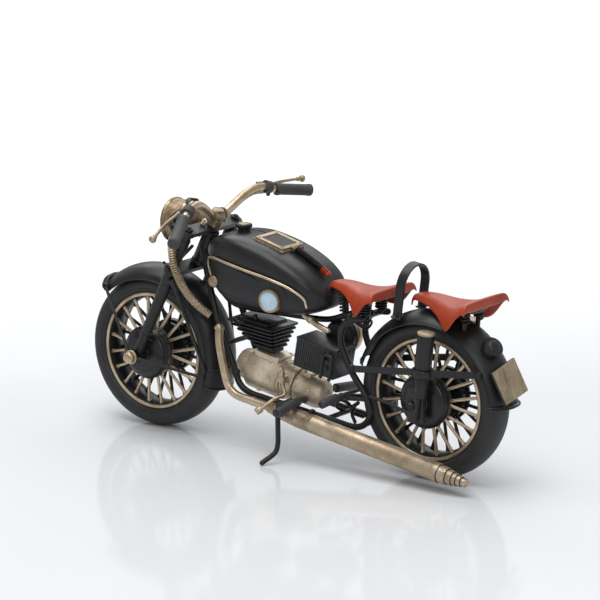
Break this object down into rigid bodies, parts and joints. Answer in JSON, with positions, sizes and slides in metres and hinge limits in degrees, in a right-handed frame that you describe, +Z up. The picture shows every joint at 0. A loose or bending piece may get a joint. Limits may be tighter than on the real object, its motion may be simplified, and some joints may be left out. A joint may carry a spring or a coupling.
{
  "type": "tin model motorcycle",
  "caption": "Free-rolling tin model motorcycle: raked steering fork, spoked wheels, two saddles on a looped tube frame, tank, finned engine, long exhaust and a folding side stand.",
  "frame": {"origin": "on the ground below the middle of the model's length", "axes": "+X forward, +Y to the rider's left, +Z up"},
  "size_m": [0.257, 0.1276, 0.1284],
  "materials": {
    "black_paint": "satin black paint with light wear along edges",
    "brass_paint": "pale brushed brass paint, bright where rubbed",
    "saddle_paint": "orange-red satin paint",
    "tyre_rubber": "matte black rubber",
    "grip_rubber": "dull dark grey rubber",
    "badge_enamel": "plain pale enamel disc",
    "lamp_lens": "clear frosted lens"
  },
  "bodies": {
    "frame": {"air_cleaner": "black_paint", "badge_left": "badge_enamel", "badge_right": "badge_enamel", "battery_box": "black_paint", "brass_hose": "brass_paint", "crankcase": "brass_paint", "cylinder_fins": "black_paint", "drive_shaft": "black_paint", "exhaust_pipe": "brass_paint", "filler_cap": "black_paint", "footpeg_left": "grip_rubber", "footpeg_right": "grip_rubber", "fuel_tank": "black_paint", "gear_lever": "brass_paint", "gearbox": "brass_paint", "grab_strap": "black_paint", "main_frame": "black_paint", "muffler": "brass_paint", "number_plate": "brass_paint", "plunger_left": "black_paint", "plunger_right": "black_paint", "rear_axle": "black_paint", "rear_brake_plate_left": "black_paint", "rear_brake_plate_right": "black_paint", "rear_fender": "black_paint", "rear_footpegs": "grip_rubber", "saddle_front": "saddle_paint", "saddle_rear": "saddle_paint", "side_strap_left": "black_paint", "side_strap_right": "black_paint", "tail_lamp": "black_paint", "tank_spine_coil": "black_paint", "tank_trim_left": "brass_paint", "tank_trim_right": "brass_paint", "timing_cover": "brass_paint", "tool_tray": "brass_paint"},
    "steering": {"fork_crown": "black_paint", "handlebar": "brass_paint", "bar_clamp": "brass_paint", "grip_left": "grip_rubber", "grip_right": "grip_rubber", "headlamp_bowl": "brass_paint", "headlamp_lens": "lamp_lens", "front_fender": "black_paint", "fork_slider_left": "black_paint", "fork_slider_right": "black_paint", "fender_stays_left": "black_paint", "fender_stays_right": "black_paint", "front_brake_plate_left": "black_paint", "front_brake_plate_right": "black_paint", "front_axle": "brass_paint"},
    "front_wheel": {"front_tyre": "tyre_rubber", "front_rim": "brass_paint", "front_hub_and_spokes": "brass_paint"},
    "rear_wheel": {"rear_tyre": "tyre_rubber", "rear_rim": "brass_paint", "rear_hub_and_spokes": "brass_paint"},
    "side_stand": {"side_stand": "black_paint"},
    "clutch_lever": {"clutch_lever": "brass_paint"},
    "brake_lever": {"brake_lever": "brass_paint"}
  },
  "joints": [
    {"name": "steering_turn", "type": "hinge", "parent": "frame", "child": "steering", "pos_m": [0.05017, 0, 0.1152], "axis": [-0.4415, 0, 0.8973], "range_deg": [-25, 25], "deforming": ["brass_hose"]},
    {"name": "front_wheel_spin", "type": "hinge", "parent": "steering", "child": "front_wheel", "pos_m": [0.08867, 0, 0.03985], "axis": [0, 1, 0], "continuous": true},
    {"name": "rear_wheel_spin", "type": "hinge", "parent": "frame", "child": "rear_wheel", "pos_m": [-0.08133, 0, 0.03985], "axis": [0, 1, 0], "continuous": true},
    {"name": "side_stand_fold", "type": "hinge", "parent": "frame", "child": "side_stand", "pos_m": [-0.00473, 0.0251, 0.0254], "axis": [0, 1, 0], "range_deg": [0, 75]},
    {"name": "clutch_lever_pull", "type": "hinge", "parent": "steering", "child": "clutch_lever", "pos_m": [0.04807, 0.0356, 0.12091], "axis": [0, 0, 1], "range_deg": [0, 10], "stiffness_Nm_per_rad": 0.01},
    {"name": "brake_lever_pull", "type": "hinge", "parent": "steering", "child": "brake_lever", "pos_m": [0.04807, -0.0356, 0.12389], "axis": [0, 0, -1], "range_deg": [0, 10], "stiffness_Nm_per_rad": 0.01}
  ]
}
